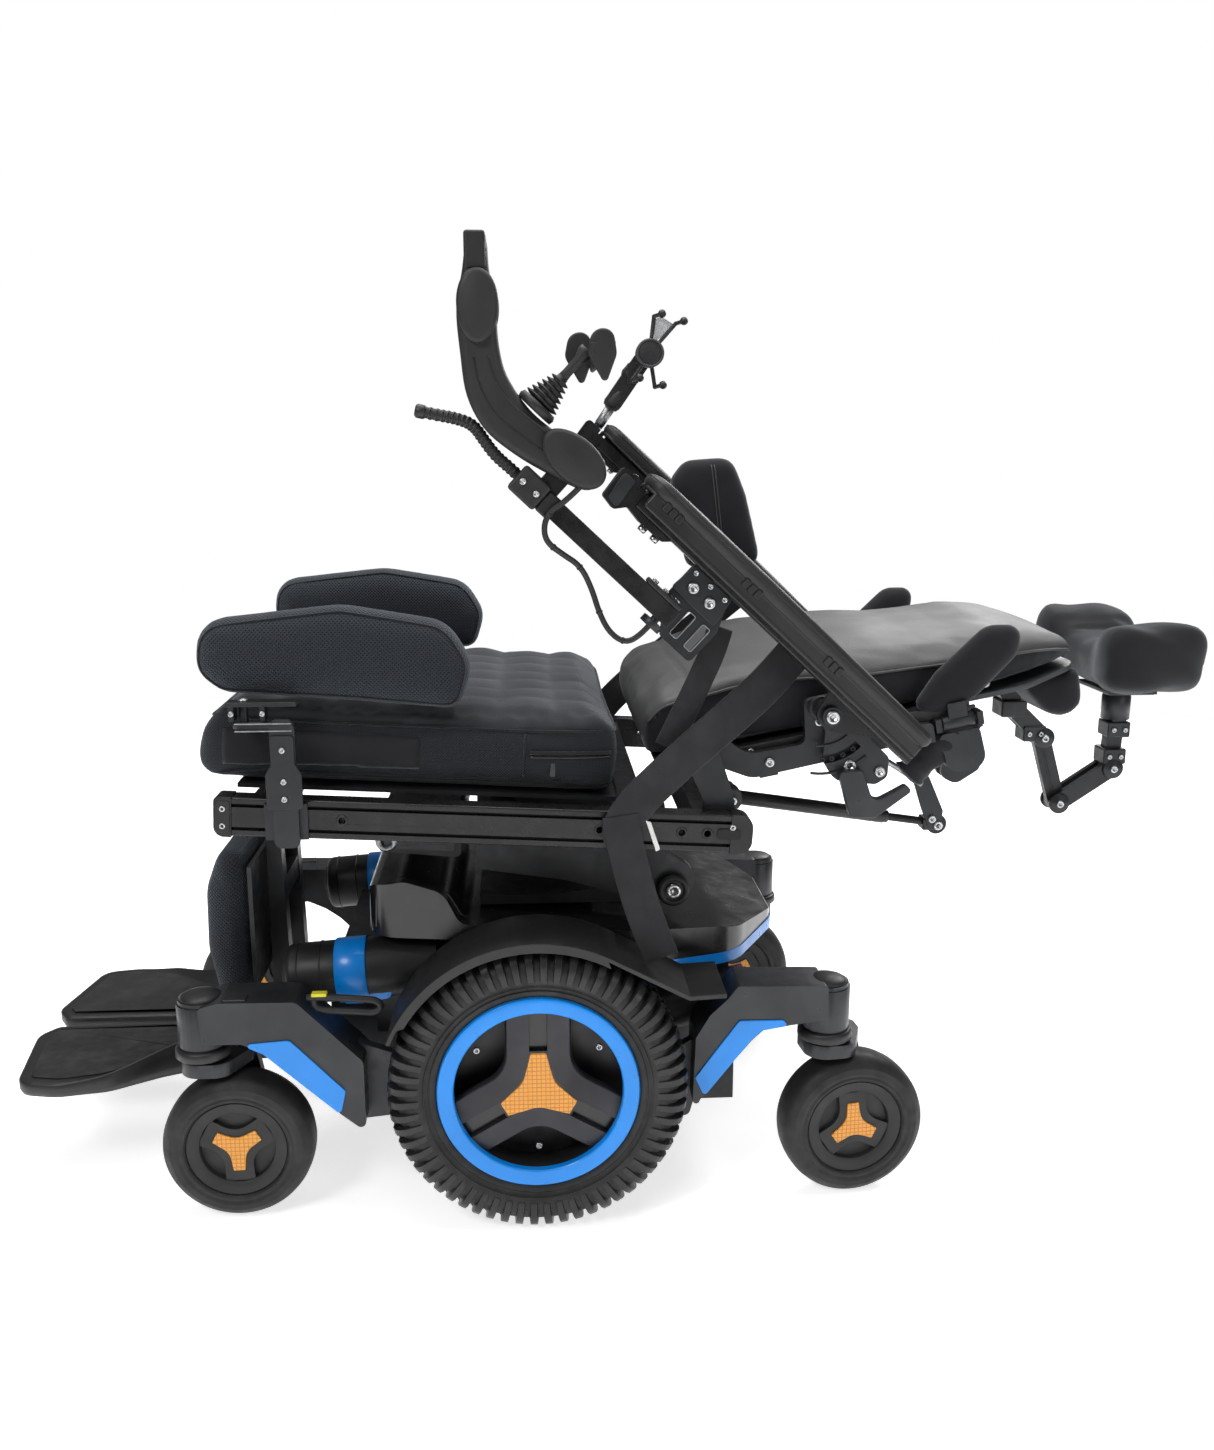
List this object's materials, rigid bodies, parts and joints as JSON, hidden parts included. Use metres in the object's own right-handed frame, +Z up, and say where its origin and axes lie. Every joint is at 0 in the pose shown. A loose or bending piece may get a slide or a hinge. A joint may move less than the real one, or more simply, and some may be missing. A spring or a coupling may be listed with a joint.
{
  "type": "power wheelchair",
  "caption": "Mid-wheel drive power wheelchair with power tilt, lift, recline and legrest, joystick, knee, trunk and head supports.",
  "frame": {"origin": "middle of the footprint on the floor", "axes": "+X towards the headrest, +Y towards the occupant's right, +Z up"},
  "size_m": [1.5396, 0.658, 1.132],
  "materials": {
    "frame_black": "satin powder coat",
    "frame_grey": "satin powder coat",
    "shroud_plastic": "semi-gloss moulded",
    "matte_plastic": "fine texture",
    "battery_case": "moulded",
    "tyre_rubber": "matt",
    "rim_plastic": "semi-gloss with blue trim ring",
    "soft_rubber": "matt",
    "aluminium_black": "black anodised",
    "steel_zinc": "zinc plated",
    "mesh_fabric": "spacer mesh",
    "stretch_fabric": "stretch cover",
    "vinyl_black": "smooth upholstery",
    "webbing": "woven webbing"
  },
  "bodies": {
    "base": {"base_frame": "frame_black", "batteries": "battery_case", "drive_motors": "frame_black", "base_shroud": "shroud_plastic", "nose_booms": "shroud_plastic", "fenders": "shroud_plastic"},
    "drive_wheel_left": {"drive_tyre_left": "tyre_rubber", "drive_rim_left": "rim_plastic"},
    "drive_wheel_right": {"drive_tyre_right": "tyre_rubber", "drive_rim_right": "rim_plastic"},
    "lift_middle": {"lift_middle_tube": "aluminium_black"},
    "lift_head": {"lift_carriage": "frame_black"},
    "seat": {"seat_rails": "aluminium_black", "seat_frame": "frame_black", "seat_cushion": "stretch_fabric", "seat_drive_unit": "matte_plastic", "knee_brackets": "frame_black", "hip_belt": "webbing"},
    "knee_support_left": {"knee_pad_left": "mesh_fabric"},
    "knee_support_right": {"knee_pad_right": "mesh_fabric"},
    "legrest": {"legrest_frame": "frame_black", "calf_pads": "mesh_fabric"},
    "foot_left": {"footplate_left": "matte_plastic"},
    "foot_right": {"footplate_right": "matte_plastic"},
    "backrest": {"back_frame": "frame_black", "back_shell": "frame_black", "back_cushion": "vinyl_black"},
    "lateral_support_left": {"lateral_left": "stretch_fabric"},
    "lateral_support_right": {"lateral_right": "stretch_fabric"},
    "headrest_lower": {"headrest_lower_link": "frame_black"},
    "headrest_upper": {"headrest_upper_link": "frame_black"},
    "headrest": {"headrest_pad": "stretch_fabric"},
    "recline_barrel_body": {"recline_barrel": "matte_plastic"},
    "recline_stem_body": {"recline_stem": "steel_zinc"},
    "armrest_angle_left": {"armrest_link_left": "frame_grey"},
    "armrest_angle_right": {"armrest_link_right": "frame_grey"},
    "armrest_left": {"armrest_track_left": "aluminium_black", "armrest_pad_left": "soft_rubber", "joystick_bracket": "frame_black"},
    "armrest_right": {"armrest_track_right": "aluminium_black", "armrest_pad_right": "soft_rubber", "elbow_pad": "stretch_fabric", "phone_mount": "matte_plastic"},
    "joystick": {"joystick_arm": "aluminium_black", "joystick_housing": "matte_plastic", "joystick_cable": "soft_rubber"},
    "joystick_lever": {"joystick_stick": "soft_rubber"},
    "phone_cradle": {"phone_grip": "matte_plastic"},
    "suspension_front_left": {"suspension_arm_front_left": "frame_grey"},
    "swivel_front_left": {"caster_fork_front_left": "frame_grey"},
    "caster_front_left": {"caster_wheel_front_left": "tyre_rubber"},
    "suspension_front_right": {"suspension_arm_front_right": "frame_grey"},
    "swivel_front_right": {"caster_fork_front_right": "frame_grey"},
    "caster_front_right": {"caster_wheel_front_right": "tyre_rubber"},
    "suspension_rear_left": {"suspension_arm_rear_left": "frame_grey"},
    "swivel_rear_left": {"caster_fork_rear_left": "frame_grey"},
    "caster_rear_left": {"caster_wheel_rear_left": "tyre_rubber"},
    "suspension_rear_right": {"suspension_arm_rear_right": "frame_grey"},
    "swivel_rear_right": {"caster_fork_rear_right": "frame_grey"},
    "caster_rear_right": {"caster_wheel_rear_right": "tyre_rubber"}
  },
  "joints": [
    {"name": "drive_spin_left", "type": "hinge", "parent": "base", "child": "drive_wheel_left", "pos_m": [-0.09519, -0.284, 0.1775], "axis": [0, 1, 0], "continuous": true},
    {"name": "drive_spin_right", "type": "hinge", "parent": "base", "child": "drive_wheel_right", "pos_m": [-0.09519, 0.284, 0.1775], "axis": [0, 1, 0], "continuous": true},
    {"name": "suspension_front_left_hinge", "type": "hinge", "parent": "base", "child": "suspension_front_left", "pos_m": [-0.17019, -0.236, 0.15], "axis": [0, 1, 0], "range_deg": [-4, 4], "stiffness_Nm_per_rad": 4000, "springref_deg": -0.92},
    {"name": "swivel_front_left_turn", "type": "hinge", "parent": "suspension_front_left", "child": "swivel_front_left", "pos_m": [-0.49419, -0.245, 0.2], "axis": [0, 0, 1], "continuous": true},
    {"name": "caster_front_left_spin", "type": "hinge", "parent": "swivel_front_left", "child": "caster_front_left", "pos_m": [-0.45819, -0.245, 0.091], "axis": [0, 1, 0], "continuous": true},
    {"name": "suspension_front_right_hinge", "type": "hinge", "parent": "base", "child": "suspension_front_right", "pos_m": [-0.17019, 0.236, 0.15], "axis": [0, 1, 0], "range_deg": [-4, 4], "stiffness_Nm_per_rad": 4000, "springref_deg": -0.92},
    {"name": "swivel_front_right_turn", "type": "hinge", "parent": "suspension_front_right", "child": "swivel_front_right", "pos_m": [-0.49419, 0.245, 0.2], "axis": [0, 0, 1], "continuous": true},
    {"name": "caster_front_right_spin", "type": "hinge", "parent": "swivel_front_right", "child": "caster_front_right", "pos_m": [-0.53019, 0.245, 0.091], "axis": [0, -1, 0], "continuous": true},
    {"name": "suspension_rear_left_hinge", "type": "hinge", "parent": "base", "child": "suspension_rear_left", "pos_m": [-0.02019, -0.236, 0.118], "axis": [0, -1, 0], "range_deg": [-4, 4], "stiffness_Nm_per_rad": 4000, "springref_deg": -0.92},
    {"name": "swivel_rear_left_turn", "type": "hinge", "parent": "suspension_rear_left", "child": "swivel_rear_left", "pos_m": [0.25881, -0.245, 0.2], "axis": [0, 0, 1], "continuous": true},
    {"name": "caster_rear_left_spin", "type": "hinge", "parent": "swivel_rear_left", "child": "caster_rear_left", "pos_m": [0.29461, -0.24124, 0.091], "axis": [-0.1045, 0.9945, 0], "continuous": true},
    {"name": "suspension_rear_right_hinge", "type": "hinge", "parent": "base", "child": "suspension_rear_right", "pos_m": [-0.02019, 0.236, 0.118], "axis": [0, -1, 0], "range_deg": [-4, 4], "stiffness_Nm_per_rad": 4000, "springref_deg": -0.92},
    {"name": "swivel_rear_right_turn", "type": "hinge", "parent": "suspension_rear_right", "child": "swivel_rear_right", "pos_m": [0.25881, 0.245, 0.2], "axis": [0, 0, 1], "continuous": true},
    {"name": "caster_rear_right_spin", "type": "hinge", "parent": "swivel_rear_right", "child": "caster_rear_right", "pos_m": [0.22281, 0.245, 0.091], "axis": [0, -1, 0], "continuous": true},
    {"name": "seat_lift", "type": "slide", "parent": "base", "child": "lift_head", "axis": [0, 0, 1], "range_m": [0, 0.3]},
    {"name": "lift_middle_stage", "type": "slide", "parent": "base", "child": "lift_middle", "axis": [0, 0, 1], "range_m": [0, 0.15]},
    {"name": "seat_tilt", "type": "hinge", "parent": "lift_head", "child": "seat", "pos_m": [0.07681, 0, 0.375], "axis": [0, 1, 0], "range_deg": [0, 30]},
    {"name": "knee_swing_left", "type": "hinge", "parent": "seat", "child": "knee_support_left", "pos_m": [-0.41719, -0.275, 0.625], "axis": [0, 0, -1], "range_deg": [0, 90]},
    {"name": "knee_swing_right", "type": "hinge", "parent": "seat", "child": "knee_support_right", "pos_m": [-0.41719, 0.275, 0.625], "axis": [0, 0, 1], "range_deg": [0, 90]},
    {"name": "legrest_elevation", "type": "hinge", "parent": "seat", "child": "legrest", "pos_m": [-0.44019, 0, 0.47], "axis": [0, 1, 0], "range_deg": [0, 70]},
    {"name": "footplate_flip_left", "type": "hinge", "parent": "legrest", "child": "foot_left", "pos_m": [-0.53219, -0.06, 0.128], "axis": [0, 1, 0], "range_deg": [0, 85]},
    {"name": "footplate_flip_right", "type": "hinge", "parent": "legrest", "child": "foot_right", "pos_m": [-0.53219, 0.06, 0.128], "axis": [0, 1, 0], "range_deg": [0, 85]},
    {"name": "back_recline", "type": "hinge", "parent": "seat", "child": "backrest", "pos_m": [0.09181, 0, 0.58], "axis": [0, 1, 0], "range_deg": [-75, 0]},
    {"name": "lateral_swing_left", "type": "hinge", "parent": "backrest", "child": "lateral_support_left", "pos_m": [0.4104, -0.226, 0.5971], "axis": [0.9816, 0, 0.1908], "range_deg": [0, 70]},
    {"name": "lateral_swing_right", "type": "hinge", "parent": "backrest", "child": "lateral_support_right", "pos_m": [0.4104, 0.226, 0.5971], "axis": [-0.9816, 0, -0.1908], "range_deg": [0, 70]},
    {"name": "headrest_lower_hinge", "type": "hinge", "parent": "backrest", "child": "headrest_lower", "pos_m": [0.60881, 0, 0.526], "axis": [0, 1, 0], "range_deg": [-5, 15]},
    {"name": "headrest_upper_hinge", "type": "hinge", "parent": "headrest_lower", "child": "headrest_upper", "pos_m": [0.63681, 0, 0.432], "axis": [0, 1, 0], "range_deg": [0, 15]},
    {"name": "headrest_pad_hinge", "type": "hinge", "parent": "headrest_upper", "child": "headrest", "pos_m": [0.71381, 0, 0.557], "axis": [0, 1, 0], "range_deg": [-12, 12]},
    {"name": "recline_barrel_hinge", "type": "hinge", "parent": "seat", "child": "recline_barrel_body", "pos_m": [0.14981, -0.15, 0.488], "axis": [0, 1, 0], "range_deg": [-77, 0]},
    {"name": "recline_stem_slide", "type": "slide", "parent": "recline_barrel_body", "child": "recline_stem_body", "axis": [0.9889, 0, -0.1487], "range_m": [0, 0.14]},
    {"name": "armrest_angle_left_hinge", "type": "hinge", "parent": "backrest", "child": "armrest_angle_left", "pos_m": [0.24181, -0.243, 0.618], "axis": [0, 1, 0], "range_deg": [0, 28.5]},
    {"name": "armrest_flip_left", "type": "hinge", "parent": "armrest_angle_left", "child": "armrest_left", "pos_m": [0.24181, -0.264, 0.618], "axis": [0, 1, 0], "range_deg": [0, 48]},
    {"name": "armrest_angle_right_hinge", "type": "hinge", "parent": "backrest", "child": "armrest_angle_right", "pos_m": [0.24181, 0.243, 0.618], "axis": [0, 1, 0], "range_deg": [0, 28.5]},
    {"name": "armrest_flip_right", "type": "hinge", "parent": "armrest_angle_right", "child": "armrest_right", "pos_m": [0.24181, 0.264, 0.618], "axis": [0, 1, 0], "range_deg": [0, 48]},
    {"name": "joystick_swing", "type": "hinge", "parent": "armrest_left", "child": "joystick", "pos_m": [0.0472, -0.3, 0.74068], "axis": [0.682, 0, 0.7314], "range_deg": [0, 80]},
    {"name": "joystick_lever_hinge", "type": "hinge", "parent": "joystick", "child": "joystick_lever", "pos_m": [-0.08619, -0.3, 0.96], "axis": [0, 1, 0], "range_deg": [-16, 16], "stiffness_Nm_per_rad": 1.2},
    {"name": "phone_cradle_ball", "type": "hinge", "parent": "armrest_right", "child": "phone_cradle", "pos_m": [0.08281, 0.273, 1.052], "axis": [0, 1, 0], "range_deg": [-30, 30]}
  ],
  "couplings": [
    {"joint": "lift_middle_stage", "follows": "seat_lift", "ratio": 0.5},
    {"joint": "recline_barrel_hinge", "follows": "back_recline", "ratio": 1.0144},
    {"joint": "recline_stem_slide", "follows": "back_recline", "m_per_rad": -0.10107},
    {"joint": "armrest_angle_left_hinge", "follows": "back_recline", "ratio": -0.37333},
    {"joint": "armrest_angle_right_hinge", "follows": "back_recline", "ratio": -0.37333}
  ]
}
